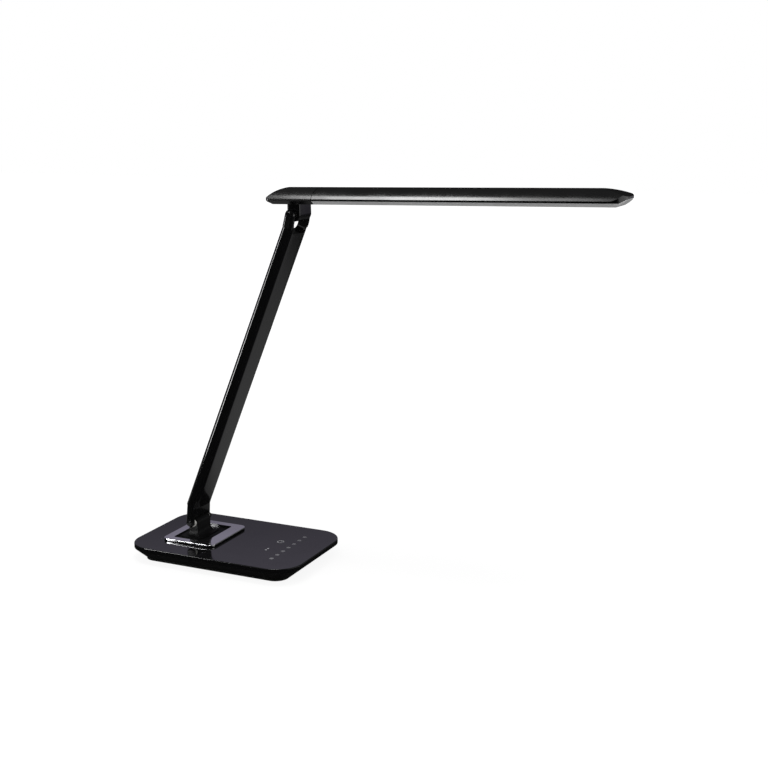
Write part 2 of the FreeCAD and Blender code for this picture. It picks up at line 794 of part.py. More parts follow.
def arm_housing():
    axis = -num("arm_offset")
    deep = num("arm_deep / 2")
    step = num("root_step")
    reach = num("arm_reach")
    bar_low = num("low_root_back")
    bar_high = reach - num("top_root_front")
    bar = arm_section(bar_low).extrude(Vector(0, 0, bar_high - bar_low))
    low_end = fork_end(
        Vector(-num("low_ear_shift"), 0, 0), num("low_ear_rad"),
        Vector(axis - deep, 0, bar_low), Vector(axis + deep - step, 0, num("low_root_front")),
        num("low_fork_wid / 2")
    )
    top_axis = num(TOP_PIVOT_X)
    top_end = fork_end(
        Vector(top_axis, 0, reach), num("top_ear_rad"),
        Vector(axis - deep, 0, reach - num("top_root_back")),
        Vector(axis + deep - step, 0, reach - num("top_root_front")), num("arm_wid / 2")
    )
    shape = bar.fuse([low_end, top_end]).removeSplitter()
    over = num("overrun")
    low_slot = notch(-num("low_ear_rad") - over, num("low_notch"), num("low_notch"), num("low_notch_corner"))
    top_floor = reach - num("top_notch")
    top_slot = notch(top_floor, reach + num("top_ear_rad") + over, top_floor, num("top_notch_corner"))
    channel_low = num("channel_low")
    channel = Part.makeBox(
        num("channel_deep") + over, num("channel_wid"), reach - num("channel_top") - channel_low,
        Vector(axis - deep - over, -num("channel_wid / 2"), channel_low)
    )
    bore = num("pin_rad + fit_gap")
    half = num("arm_wid")
    bores = [
        Part.makeCylinder(bore, 2 * half, Vector(x, -half, z), Vector(0, 1, 0))
        for x, z in ((0, 0), (top_axis, reach))
    ]
    piece = doc.addObject("Part::Feature", "ArmHousing")
    piece.Shape = shape.cut([low_slot, top_slot, channel] + bores).removeSplitter()
    place_on_arm(piece)
    node(piece, "arm_housing")


def arm_inner_pieces():
    back = "-arm_offset - arm_deep / 2"
    floor = "-arm_offset - arm_deep / 2 + channel_deep"
    ends = ("channel_low + fit_gap", "arm_reach - channel_top - fit_gap")
    cover = box("ArmBackCover", (back, "%s + back_cover_thick" % back),
                ("fit_gap - channel_wid / 2", "channel_wid / 2 - fit_gap"), ends)
    node(place_on_arm_box(cover, back, "fit_gap - channel_wid / 2", ends[0]), "arm_back_cover")
    core = box("ArmCore", ("%s - core_thick" % floor, floor), ("-core_wid / 2", "core_wid / 2"), ends)
    node(place_on_arm_box(core, "%s - core_thick" % floor, "-core_wid / 2", ends[0]), "arm_core")
    lead_front = "%s - core_thick" % floor
    lead_back = "%s - lead_thick" % lead_front
    lead = box("ArmLead", (lead_back, lead_front), ("-lead_wid / 2", "lead_wid / 2"), ends)
    node(place_on_arm_box(lead, lead_back, "-lead_wid / 2", ends[0]), "arm_lead")


def place_on_arm_box(piece, x, y, z):
    """Lean a box whose low corner is given in the arm's frame."""
    piece.Placement = Placement(Vector(), Rotation(Vector(0, 1, 0), num("arm_lean")))
    piece.setExpression("Placement.Rotation.Angle", bind("arm_lean"))
    across = "low_pivot_x + (%s) * cos(arm_lean) + (%s) * sin(arm_lean)" % (x, z)
    rise = "low_pivot_z - (%s) * sin(arm_lean) + (%s) * cos(arm_lean)" % (x, z)
    bind_base(piece, across, y, rise)
    return piece


def hinge(prefix, centre, wide, place):
    """Pin, end caps and friction washers of a hinge in a fork this wide, in the frame that place sets."""
    pin = rod(prefix + "Pin", "pin_rad", "y", "-%s / 2" % wide, "%s / 2" % wide, centre)
    node(place(group(prefix + "HingePin", [pin])), prefix + "_hinge_pin")
    caps = []
    washers = []
    for name, side in (("Near", "-"), ("Far", "")):
        face = "%s%s / 2" % (side, wide)
        step = "%scap_bevel" % (side or "+")
        out = "%s%scap_high" % (face, side or "+")
        straight_low, straight_high = sorted((face, "%s - (%s)" % (out, step)), key=num)
        disc = rod(prefix + "CapDisc" + name, "cap_rad", "y", straight_low, straight_high, centre)
        radii = ("cap_rad", "cap_rad - cap_bevel")
        radii = radii[::-1] if side else radii
        bevel_low, bevel_high = sorted((out, "%s - (%s)" % (out, step)), key=num)
        bevel = taper(prefix + "CapBevel" + name, *radii, "y", bevel_low, bevel_high, centre)
        caps.append(fuse(prefix + "Cap" + name, [disc, bevel]))
        inner, outer = sorted(("%stongue_wid / 2" % side, "%s%s" % (side, TINE_IN)), key=num)
        washers.append(
            tube(prefix + "Washer" + name, "washer_rad", "pin_rad + fit_gap", "y", inner, outer, centre)
        )
    node(place(group(prefix + "PivotCaps", caps)), prefix + "_pivot_caps")
    node(place(group(prefix + "FrictionWashers", washers)), prefix + "_friction_washers")


# Light bar, in its own frame: origin at the upper pivot, X along the bar


def place_on_head(piece):
    """Pitch a piece that was made in the light bar's frame and carry it to the upper pivot."""
    piece.Placement = Placement(Vector(), Rotation(Vector(0, 1, 0), -num("head_pitch")))
    piece.setExpression("Placement.Rotation.Angle", bind("-head_pitch"))
    bind_base(
        piece, "low_pivot_x + %s * cos(arm_lean) + arm_reach * sin(arm_lean)" % TOP_PIVOT_X, "0",
        "low_pivot_z - %s * sin(arm_lean) + arm_reach * cos(arm_lean)" % TOP_PIVOT_X
    )
    return piece


def prism(edges, way):
    """Solid swept along a vector from a closed outline."""
    return Part.Face(Part.Wire(edges)).extrude(way)


def crown_radius(run, rise):
    """Radius of an arc that is level at its top and falls by rise over run."""
    return (run * run + rise * rise) / (2 * rise)


def plan_prism(inset, front):
    """Rounded outline of the bar seen from above, through its whole height."""
    rear = inset - num("head_rear")
    half = num("head_wid / 2") - inset
    middle = (front + rear) / 2
    high = num("%s + ridge_lift + overrun" % TOP_Z)
    block = Part.makeBox(front - rear, 2 * half, high, Vector(rear, -half, 0))
    for corner, at_front in (("rear_corner", False), ("front_corner", True)):
        posts = [
            e for e in block.Edges
            if e.BoundBox.ZLength > half / 2 and abs(e.BoundBox.YMin) > half - num("fit_gap")
            and (e.BoundBox.XMin > middle) == at_front
        ]
        block = block.makeFillet(max(num(corner) - inset, num("fit_gap")), posts)
    return block


def upper_bar(inset):
    """Crowned upper half of the light bar, drawn in by inset all round."""
    half = num("head_wid / 2") - inset
    low = num(RIM_Z)
    edge = num(EDGE_Z)
    top = num(TOP_Z) - inset
    level = top + num("ridge_lift")
    rear = inset - num("head_rear")
    front = num("head_front") - inset
    across = prism([
        line(Vector(rear, -half, low), Vector(rear, half, low)),
        line(Vector(rear, half, low), Vector(rear, half, edge)),
        arc(Vector(rear, half, edge), Vector(rear, 0, top), Vector(rear, -half, edge)),
        line(Vector(rear, -half, edge), Vector(rear, -half, low)),
    ], Vector(front - rear, 0, 0))

    def end_arc(end, way, run, face_high):
        """Arc from the level top to the face at an end of the bar."""
        foot = edge + face_high
        radius = crown_radius(run, level - foot)
        turn = math.asin(run / radius)
        drop = radius * (1 - math.cos(turn / 2))
        middle = Vector(end + way * (run - radius * math.sin(turn / 2)), -half, level - drop)
        return Vector(end + way * run, -half, level), middle, Vector(end, -half, foot)

    rear_arc = end_arc(rear, 1, num("rear_run"), num("tail_high"))
    front_arc = end_arc(front, -1, num("front_run"), num("nose_high"))
    chin = Vector(front - num("chin_run"), -half, low)
    tip = Vector(front, -half, low + num("chin_high"))
    along = prism([
        arc(*rear_arc),
        line(rear_arc[2], Vector(rear, -half, low)),
        line(Vector(rear, -half, low), chin),
        line(chin, tip),
        line(tip, front_arc[2]),
        arc(*front_arc[::-1]),
        line(front_arc[0], rear_arc[0]),
    ], Vector(0, 2 * half, 0))
    return across.common(along).common(plan_prism(inset, front))


def lower_bar(inset):
    """Chamfered lower half of the light bar with its flat underside, drawn in by inset."""
    step = num("rim_step") + inset
    half = num("head_wid / 2") - step
    flat = num("bottom_wid / 2") - inset
    low = num("head_low") + inset
    high = num(RIM_Z)
    rear = step - num("head_rear")
    front = num("head_front") - step
    rear_flat = num("rear_chamfer - head_rear") + inset
    front_flat = num("head_front - front_chamfer") - inset
    chin = num("head_front - chin_run + fit_gap")
    tip = high + num("chin_high / chin_run") * (front - chin)
    across = prism(Part.makePolygon([
        Vector(rear, -flat, low), Vector(rear, flat, low), Vector(rear, half, high), Vector(rear, half, tip),
        Vector(rear, -half, tip), Vector(rear, -half, high), Vector(rear, -flat, low)
    ]).Edges, Vector(front - rear, 0, 0))
    along = prism(Part.makePolygon([
        Vector(rear_flat, -half, low), Vector(front_flat, -half, low),
        Vector(front, -half, tip - num("chin_lip")), Vector(front, -half, tip), Vector(chin, -half, high),
        Vector(rear, -half, high), Vector(rear_flat, -half, low)
    ]).Edges, Vector(0, 2 * half, 0))
    return across.common(along).common(plan_prism(step, front))


def slab_between(low, high):
    """Block that keeps the part of the bar between two stations."""
    reach = num("head_wid")
    return Part.makeBox(high - low, 2 * reach, 2 * reach, Vector(low, -reach, -reach / 2))


def bar_stations():
    """Rear end, seam and front end of the bar, with room past both ends."""
    over = num("overrun")
    gap = num("seam_gap / 2")
    seam = num("seam_at")
    return (-num("head_rear") - over, seam - gap), (seam + gap, num("head_front") + over)


def spine_screw_places():
    """Screws that hold the spine under the end cap and the housing, in pairs along it, as expressions."""
    run = "(head_front - spine_front_margin - seam_at)"
    stations = ["cap_screw_x"] + ["seam_at + %s * %s" % (share, run) for share in BAR_SCREW_SHARES]
    return [(x, "%sbar_screw_span / 2" % side) for x in stations for side in ("", "-")]


def with_screw_bosses(shell, outer, inside):
    """Shell with a blind boss over each spine screw whose station passes the test inside."""
    top = num(SPINE_TOP)
    over = num("overrun")
    places = [(num(x), num(y)) for x, y in spine_screw_places() if inside(num(x))]
    for x, y in places:
        shell = shell.fuse(upright(num("bar_boss_rad"), x, y, top, num(TOP_Z)).common(outer))
    for x, y in places:
        shell = shell.cut(upright(num("bar_screw_rad + fit_gap"), x, y, top - over, top + num("head_wall")))
    return shell


def upright(radius, x, y, low, high):
    """Upright cylinder in the bar's frame."""
    return Part.makeCylinder(radius, high - low, Vector(x, y, low))


def head_shells():
    wall = num("head_wall")
    outer_top = upper_bar(0)
    inner_top = upper_bar(wall)
    outer_low = lower_bar(0)
    inner_low = lower_bar(wall)
    cap_span, bar_span = bar_stations()
    floor = num("head_low")
    bush_top = floor + num("neck_bush_high")
    over = num("overrun")
    seam = num("seam_at")
    cap = outer_top.fuse(outer_low).cut(inner_top).cut(inner_low).common(slab_between(*cap_span))
    turn_x = num("neck_shift")
    cap = cap.fuse(upright(num("neck_bush_rad"), turn_x, 0, floor, bush_top))
    cap = cap.cut(upright(num("neck_spindle_rad + run_gap"), turn_x, 0, floor - over, bush_top + over))
    cap = with_screw_bosses(cap, outer_top, lambda x: x < seam)
    housing = outer_top.cut(inner_top).common(slab_between(*bar_span))
    housing = with_screw_bosses(housing, outer_top, lambda x: x > seam)
    diffuser = outer_low.cut(inner_low).common(slab_between(*bar_span))
    for name, label, shape in (
        ("EndCap", "head_end_cap", cap),
        ("BarHousing", "head_housing", housing),
        ("Diffuser", "head_diffuser", diffuser),
    ):
        piece = doc.addObject("Part::Feature", name)
        piece.Shape = shape.removeSplitter()
        node(place_on_head(piece), label)


def head_neck():
    body = new_body("NeckBody")
    side = new_sketch(body, "NeckSide", "XZ_Plane")
    arch(side, "neck_half", "head_low")
    block = pad(body, side, "NeckPad", "tongue_wid", True)
    half = num("tongue_wid / 2")
    fillet(
        body, block, "NeckEdge", "neck_edge",
        lambda e: (lies_at(e, "y", half) or lies_at(e, "y", -half)) and not lies_at(e, "z", 0)
    )
    body.Placement = Placement(Vector(), Rotation(Vector(1, 0, 0), 180))
    bind_base(body, "neck_shift", "0", "head_low")
    bore = rod("NeckBore", "pin_rad + run_gap", "y", "-arm_wid", "arm_wid")
    turn = ("neck_shift", "0")
    seat_low = "head_low - neck_spindle_seat"
    clip_top = "%s + neck_clip_thick" % CLIP_LOW
    seat = rod("NeckSeat", "neck_spindle_rad + fit_gap", "z", seat_low, "head_low + overrun", turn)
    node(place_on_head(cut("HeadNeck", body, [bore, seat])), "head_neck")
    spindle = tube("NeckSpindle", "neck_spindle_rad", "neck_spindle_bore_rad", "z", seat_low, clip_top, turn)
    node(place_on_head(spindle), "neck_spindle")
    clip = tube("SpindleClip", "neck_clip_rad", "neck_spindle_rad + fit_gap", "z", CLIP_LOW, clip_top, turn)
    node(place_on_head(clip), "spindle_clip")


def head_inner_pieces():
    spine_top = num(SPINE_TOP)
    spine_low = num(SPINE_LOW)
    wall = num("head_wall")
    inner_top = num(TOP_Z) - wall
    radius = crown_radius(num("head_wid / 2") - wall, inner_top - num(EDGE_Z))
    half = math.sqrt(radius ** 2 - (spine_top - inner_top + radius) ** 2) - num("fit_gap")
    rear = -num("spine_rear")
    front = num("head_front - spine_front_margin")
    spine = Part.makeBox(front - rear, 2 * half, spine_top - spine_low, Vector(rear, -half, spine_low))
    over = num("overrun")
    bore = num("bar_screw_rad + fit_gap")
    for x, y in spine_screw_places():
        spine = spine.cut(upright(bore, num(x), num(y), spine_low - over, spine_top + over))
    piece = doc.addObject("Part::Feature", "Spine")
    piece.Shape = spine
    node(place_on_head(piece), "head_spine")
    light_low = "seam_at + light_margin"
    light_high = "head_front - spine_front_margin - light_margin"
    light_across = ("-light_wid / 2", "light_wid / 2")
    strip = box("LightStrip", (light_low, light_high), light_across, (LIGHT_LOW, SPINE_LOW))
    node(place_on_head(group("LedBoard", [strip])), "led_board")
    pitch = "(head_front - spine_front_margin - seam_at - 4 * light_margin) / %d" % (CHIP_COUNT - 1)
    chips = []
    for i in range(CHIP_COUNT):
        middle = "seam_at + 2 * light_margin + %d * %s" % (i, pitch)
        chips.append(
            box("Chip%d" % i, ("%s - chip_side / 2" % middle, "%s + chip_side / 2" % middle),
                ("-chip_side / 2", "chip_side / 2"), ("%s - chip_thick" % LIGHT_LOW, LIGHT_LOW))
        )
    node(place_on_head(group("LedChips", chips)), "led_chips")
    screws = []
    for i, at in enumerate(spine_screw_places()):
        head = rod("SpineScrewHead%d" % i, "bar_screw_head_rad", "z", "%s - bar_screw_head_high" % SPINE_LOW,
                   SPINE_LOW, at)
        shank = rod("SpineScrewShank%d" % i, "bar_screw_rad", "z", SPINE_LOW,
                    "%s + head_wall - fit_gap" % SPINE_TOP, at)
        screws.append(fuse("SpineScrew%d" % i, [head, shank]))
    node(place_on_head(group("SpineScrews", screws)), "spine_screws")


def check_and_write():
    """Stop on any failed object, then write each sub-part under its label."""
    doc.recompute()
    for item in doc.Objects:
        if "Invalid" in item.State or "Error" in item.State:
            raise RuntimeError("%s failed: %s" % (item.Name, item.State))
    for piece in nodes:
        if piece.Shape.isNull() or not piece.Shape.isValid() or not piece.Shape.Solids:
            raise RuntimeError(piece.Label + " has no valid solid")
    os.makedirs("parts", exist_ok=True)
    for piece in nodes:
        piece.Shape.exportStep(os.path.join("parts", piece.Label + ".step"))
        box_now = piece.Shape.BoundBox
        print("%-24s solids %2d volume %9.1f  x %7.2f %7.2f  y %7.2f %7.2f  z %7.2f %7.2f" % (
            piece.Label, len(piece.Shape.Solids), piece.Shape.Volume, box_now.XMin, box_now.XMax,
            box_now.YMin, box_now.YMax, box_now.ZMin, box_now.ZMax))


base_tray()
top_panel()
bottom_cover()
cover_screws()
rubber_feet()
ballast_plate()
control_board()
indicator_lenses()
dc_jack()
swivel_bush()
turntable_plate()
frame_ring()
pedestal()
swivel_spindle()
arm_housing()
arm_inner_pieces()
hinge("lower", ("0", "0"), "low_fork_wid", place_on_arm)
hinge("upper", (TOP_PIVOT_X, "arm_reach"), "arm_wid", place_on_arm)
head_shells()
head_neck()
head_inner_pieces()
check_and_write()
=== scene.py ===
"""Studio picture of the LED desk lamp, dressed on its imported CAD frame. Lengths in metres."""

import math

import bmesh
import bpy
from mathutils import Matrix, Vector


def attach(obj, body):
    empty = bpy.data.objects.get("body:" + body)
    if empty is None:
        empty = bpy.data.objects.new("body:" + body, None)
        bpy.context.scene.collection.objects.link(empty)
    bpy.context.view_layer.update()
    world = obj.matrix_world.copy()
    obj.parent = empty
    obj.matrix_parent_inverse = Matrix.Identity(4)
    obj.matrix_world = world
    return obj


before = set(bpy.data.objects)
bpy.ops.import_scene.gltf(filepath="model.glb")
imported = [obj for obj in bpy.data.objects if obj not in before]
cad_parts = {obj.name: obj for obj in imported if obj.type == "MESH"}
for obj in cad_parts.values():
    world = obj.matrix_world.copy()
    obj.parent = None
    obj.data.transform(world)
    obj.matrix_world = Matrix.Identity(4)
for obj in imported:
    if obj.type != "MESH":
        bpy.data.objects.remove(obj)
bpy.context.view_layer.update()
MM = 0.001
UNIT = (0.0, 1.0)
WHITE = 1.0

# Camera

CAMERA_PLACE = (0.70775, -1.1611, 0.4925)
CAMERA_TARGET = (0.17981, 0.0, 0.2109)
LENS_MM = 60
SENSOR_MM = 36


def look_at(thing, place, target):
    """Put a camera or lamp at a place and turn it to a target."""
    thing.location = place
    thing.rotation_euler = (Vector(target) - Vector(place)).to_track_quat("-Z", "Y").to_euler()


def make_camera():
    """Camera at the photograph's viewing angle."""
    data = bpy.data.cameras.new("Camera")
    data.lens = LENS_MM
    data.sensor_width = SENSOR_MM
    data.dof.use_dof = False
    camera = bpy.data.objects.new("Camera", data)
    bpy.context.scene.collection.objects.link(camera)
    look_at(camera, CAMERA_PLACE, CAMERA_TARGET)
    bpy.context.scene.camera = camera


# Node helpers

INPUT_MARK = "in_"


class Nodes:
    """Short way to build a node tree."""

    def __init__(self, tree):
        self.tree = tree

    def add(self, kind, **settings):
        """New node; settings are properties, and in_NAME or in_NUMBER gives an input its value or link."""
        node = self.tree.nodes.new("ShaderNode" + kind)
        inputs = {}
        for key, value in settings.items():
            if key.startswith(INPUT_MARK):
                inputs[key[len(INPUT_MARK):]] = value
            else:
                setattr(node, key, value)
        for key, value in inputs.items():
            self.feed(node, int(key) if key.isdigit() else key.replace("_", " "), value)
        return node

    def feed(self, node, key, value):
        """Value or link for one input."""
        if isinstance(value, bpy.types.NodeSocket):
            self.tree.links.new(value, node.inputs[key])
        else:
            node.inputs[key].default_value = value

    def math(self, operation, a, b):
        """Sum, product or larger one of two numbers."""
        return self.add("Math", operation=operation, in_0=a, in_1=b).outputs[0]

    def spread(self, value, span, target, kind="LINEAR"):
        """Map the span of a value onto a target span, clamped."""
        node = self.add("MapRange", interpolation_type=kind, in_0=value)
        for index, edge in enumerate((*span, *target), start=1):
            node.inputs[index].default_value = edge
        return node.outputs[0]

    def ramp(self, value, stops):
        """Grey curve through (place, brightness) stops."""
        node = self.add("ValToRGB", in_0=value)
        ramp = node.color_ramp
        while len(ramp.elements) < len(stops):
            ramp.elements.new(1.0)
        for element, (place, brightness) in zip(ramp.elements, stops):
            element.position = place
            element.color = grey(brightness)
        return node.outputs[0]

    def toned(self, tone, blue=None):
        """Colour from one grey value, with its blue channel raised by a factor where one is given."""
        lifted = self.math("MULTIPLY", tone, blue) if blue else tone
        return self.add("CombineColor", in_0=tone, in_1=tone, in_2=lifted).outputs[0]


def grey(level):
    """Neutral colour."""
    return (level, level, level, 1)


def noise(nodes, layer, stretch=(1, 1, 1)):
    """Noise fixed to the piece; a layer is its waves to the metre and its detail."""
    waves, detail = layer
    coords = nodes.add("TexCoord").outputs["Object"]
    vector = nodes.add("Mapping", in_Vector=coords, in_Scale=stretch).outputs[0]
    return nodes.add("TexNoise", in_Vector=vector, in_Scale=waves, in_Detail=detail).outputs[0]


def new_material(name, **inputs):
    """Principled material with its plain inputs set."""
    material = bpy.data.materials.new(name)
    material.use_nodes = True
    nodes = Nodes(material.node_tree)
    shader = material.node_tree.nodes["Principled BSDF"]
    for key, value in inputs.items():
        shader.inputs[key.replace("_", " ")].default_value = value
    return material, nodes, shader


def empty_material(name):
    """Material whose node tree is still to be built."""
    material = bpy.data.materials.new(name)
    material.use_nodes = True
    material.node_tree.nodes.clear()
    return material, Nodes(material.node_tree)


def bump(nodes, shader, height, relief):
    """Surface relief from a height value; relief is its strength and depth."""
    strength, depth = relief
    node = nodes.add("Bump", in_Height=height, in_Strength=strength, in_Distance=depth)
    nodes.feed(shader, "Normal", node.outputs[0])


def around(middle, factors):
    """Span around a value."""
    return tuple(middle * factor for factor in factors)


# Materials

MID_SPAN = (0.3, 0.7)

GLOSS_IOR = 1.5
GLOSS_LEVEL = 0.0035
GLOSS_BLUE = 1.08
HAZE = (38, 5)
HAZE_SPAN = (0.35, 0.7)
WIPE = (9, 4)
WIPE_STRETCH = (1, 6, 1)
WIPE_SPAN = (0.45, 0.75)
WIPE_ROUGH = (0.0, 0.03)
DUST = (2600, 2)
DUST_SPAN = (0.68, 0.82)
DUST_TONE = (0.0, 0.005)
RIPPLE = (60, 2)
RIPPLE_RELIEF = (0.02, 0.0004)

SATIN_IOR = 1.46
SATIN_BLUE = 1.06
SATIN_CLOUD = (30, 4)
SATIN_CLOUD_FACTORS = (0.85, 1.2)
GRAIN_DETAIL = 3
GRAIN_RELIEF = (0.12, 0.0001)
PLAIN_SPECULAR = 0.5

PLATING_LINES = (900, 2)
PLATING_STRETCH = (1, 14, 14)
PLATING_ROUGH = (0.06, 0.1)
PLATING_CLOUD = (40, 4)
PLATING_TONE = (0.76, 0.86)
PLATING_BLUE = 1.03
PLATING_RELIEF = (0.03, 0.0001)

TOOL_LINES = (700, 3)
TOOL_STRETCH = (1, 1, 9)
TOOL_ROUGH_FACTORS = (0.8, 1.3)
TOOL_TONE_FACTORS = (0.9, 1.05)

OPAL_IOR = 1.49
OPAL_WEIGHT = 0.25
OPAL_DEPTH = 0.004
OPAL_RADIUS = (1.0, 0.95, 0.9)
OPAL_CLOUD = (25, 3)
OPAL_TONE = (0.52, 0.57)
FROST = (3200, 2)
FROST_ROUGH = (0.28, 0.4)
FROST_RELIEF = (0.05, 0.0001)

MOTTLE = (400, 3)
MOTTLE_FACTORS = (0.85, 1.1)
FINE_MOTTLE = (900, 2)
FINE_MOTTLE_FACTORS = (0.85, 1.15)


def gloss_black(name, rough, level=GLOSS_LEVEL):
    """Piano-black plastic: deep black, faint moulding ripple, slight haze from handling."""
    material, nodes, shader = new_material(name, IOR=GLOSS_IOR)
    haze = nodes.spread(noise(nodes, HAZE), HAZE_SPAN, rough)
    wipe = nodes.spread(noise(nodes, WIPE, WIPE_STRETCH), WIPE_SPAN, WIPE_ROUGH)
    nodes.feed(shader, "Roughness", nodes.math("ADD", haze, wipe))
    dust = nodes.spread(noise(nodes, DUST), DUST_SPAN, DUST_TONE)
    tone = nodes.math("ADD", dust, level)
    nodes.feed(shader, "Base Color", nodes.toned(tone, GLOSS_BLUE))
    bump(nodes, shader, noise(nodes, RIPPLE), RIPPLE_RELIEF)
    return material


def satin_black(name, rough, level, grain, specular=PLAIN_SPECULAR):
    """Moulded plastic with a fine spark-eroded grain."""
    material, nodes, shader = new_material(name, IOR=SATIN_IOR, Specular_IOR_Level=specular)
    speck = noise(nodes, (grain, GRAIN_DETAIL))
    nodes.feed(shader, "Roughness", nodes.spread(speck, MID_SPAN, rough))
    cloud = nodes.spread(noise(nodes, SATIN_CLOUD), MID_SPAN, around(level, SATIN_CLOUD_FACTORS))
    nodes.feed(shader, "Base Color", nodes.toned(cloud, SATIN_BLUE))
    bump(nodes, shader, speck, GRAIN_RELIEF)
    return material


def satin_chrome(name):
    """Brushed plating: fine lines along the strip and soft clouding."""
    material, nodes, shader = new_material(name, Metallic=1.0)
    lines = noise(nodes, PLATING_LINES, PLATING_STRETCH)
    nodes.feed(shader, "Roughness", nodes.spread(lines, MID_SPAN, PLATING_ROUGH))
    cloud = nodes.spread(noise(nodes, PLATING_CLOUD), MID_SPAN, PLATING_TONE)
    nodes.feed(shader, "Base Color", nodes.toned(cloud, PLATING_BLUE))
    bump(nodes, shader, lines, PLATING_RELIEF)
    return material


def plain_metal(name, level, rough):
    """Turned or rolled metal with fine tool lines."""
    material, nodes, shader = new_material(name, Metallic=1.0)
    lines = noise(nodes, TOOL_LINES, TOOL_STRETCH)
    nodes.feed(shader, "Roughness", nodes.spread(lines, MID_SPAN, around(rough, TOOL_ROUGH_FACTORS)))
    tone = nodes.spread(lines, MID_SPAN, around(level, TOOL_TONE_FACTORS))
    nodes.feed(shader, "Base Color", nodes.toned(tone))
    return material


def milky_diffuser(name):
    """Opal plastic with a fine frost."""
    material, nodes, shader = new_material(
        name, IOR=OPAL_IOR,
        Subsurface_Weight=OPAL_WEIGHT, Subsurface_Scale=OPAL_DEPTH, Subsurface_Radius=OPAL_RADIUS,
    )
    frost = noise(nodes, FROST)
    nodes.feed(shader, "Roughness", nodes.spread(frost, MID_SPAN, FROST_ROUGH))
    tone = nodes.spread(noise(nodes, OPAL_CLOUD), MID_SPAN, OPAL_TONE)
    nodes.feed(shader, "Base Color", nodes.toned(tone))
    bump(nodes, shader, frost, FROST_RELIEF)
    return material


def coloured_plastic(name, colour, rough):
    """Small plastic or board piece with a mottled tone."""
    material, nodes, shader = new_material(name)
    shade = nodes.spread(noise(nodes, MOTTLE), MID_SPAN, MOTTLE_FACTORS)
    red, green, blue = (nodes.math("MULTIPLY", shade, channel) for channel in colour)
    mixed = nodes.add("CombineColor", in_0=red, in_1=green, in_2=blue).outputs[0]
    nodes.feed(shader, "Base Color", mixed)
    fine = noise(nodes, FINE_MOTTLE)
    nodes.feed(shader, "Roughness", nodes.spread(fine, MID_SPAN, around(rough, FINE_MOTTLE_FACTORS)))
    return material


def dress_nodes():
    """Give every CAD node its finish."""
    panel = gloss_black("piano_black_panel", rough=(0.05, 0.1))
    arm = gloss_black("piano_black_arm", rough=(0.07, 0.13))
    bar = gloss_black("piano_black_bar", rough=(0.16, 0.24), level=0.0015)
    hull = satin_black("satin_black_hull", rough=(0.34, 0.46), level=0.0048, grain=2200, specular=0.4)
    fine = satin_black("satin_black_fine", rough=(0.26, 0.36), level=0.004, grain=3000)
    # Matte black for the turntable plate and the pedestal in the ring's opening. Its base colour is set a
    # little darker than the other blacks as painted shade for that opening, and its reflection is weak.
    deep = satin_black("matte_black_painted_shade", rough=(0.42, 0.55), level=0.003, grain=2600, specular=0.2)
    end_cap = satin_black("satin_black_cap", rough=(0.19, 0.26), level=0.004, grain=3000)
    chrome = satin_chrome("satin_chrome")
    steel = plain_metal("steel", level=0.5, rough=0.35)
    alloy = plain_metal("alloy", level=0.72, rough=0.3)
    rubber = coloured_plastic("foot_rubber", colour=(0.02, 0.02, 0.02), rough=0.8)
    opal = milky_diffuser("opal_diffuser")
    nylon = coloured_plastic("nylon", colour=(0.72, 0.71, 0.67), rough=0.5)
    board = coloured_plastic("board_green", colour=(0.03, 0.16, 0.07), rough=0.5)
    lens = coloured_plastic("lens_grey", colour=(0.2, 0.2, 0.212), rough=0.3)
    lead = coloured_plastic("lead_grey", colour=(0.25, 0.25, 0.26), rough=0.5)
    chips = coloured_plastic("chip_yellow", colour=(0.85, 0.75, 0.35), rough=0.5)
    finishes = {
        "base_tray": hull,
        "top_panel": panel,
        "bottom_cover": hull,
        "cover_screws": steel,
        "rubber_feet": rubber,
        "ballast_plate": steel,
        "control_board": board,
        "indicator_lenses": lens,
        "dc_jack": fine,
        "swivel_bush": nylon,
        "thrust_washer": nylon,
        "turntable_plate": deep,
        "frame_ring": chrome,
        "pedestal": deep,
        "swivel_spindle": steel,
        "spindle_nut": steel,
        "arm_housing": arm,
        "arm_back_cover": fine,
        "arm_core": steel,
        "arm_lead": lead,
        "lower_hinge_pin": steel,
        "lower_pivot_caps": arm,
        "lower_friction_washers": nylon,
        "upper_hinge_pin": steel,
        "upper_pivot_caps": arm,
        "upper_friction_washers": nylon,
        "head_neck": arm,
        "neck_spindle": steel,
        "spindle_clip": steel,
        "head_end_cap": end_cap,
        "head_housing": bar,
        "head_diffuser": opal,
        "head_spine": alloy,
        "led_board": alloy,
        "led_chips": chips,
        "spine_screws": steel,
    }
    for name, material in finishes.items():
        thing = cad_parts[name]
        thing.data.materials.clear()
        thing.data.materials.append(material)


# Studio

BACKWARDS = (-0.52, 0.854, 0.0)
SIDEWAYS = (0.854, 0.52, 0.0)

SOFT_LEVEL = 0.6
ROOM_STOPS = [(0.0, 0.007), (0.1, 0.009), (0.4, 0.03), (0.7, 0.07), (0.87, 0.13), (1.0, 0.15)]

FLOOR_SIZE = 12
FLOOR_HEIGHT = -0.0002
FLOOR_GREY = 0.6
SHADOW_GREY = 0.14
GLOW_SPAN = (0.25, 0.7)
GLOW_LEVEL = (0.9, WHITE)
MIRROR_SPAN = (-0.2, 0.9)
MIRROR_STOPS = [
    (0.0, 0.012), (0.23, 0.02), (0.29, 0.24), (0.36, 0.25), (0.48, 0.205),
    (0.55, 0.17), (0.6, 0.105), (0.64, 0.05), (0.75, 0.03), (1.0, 0.02),
]

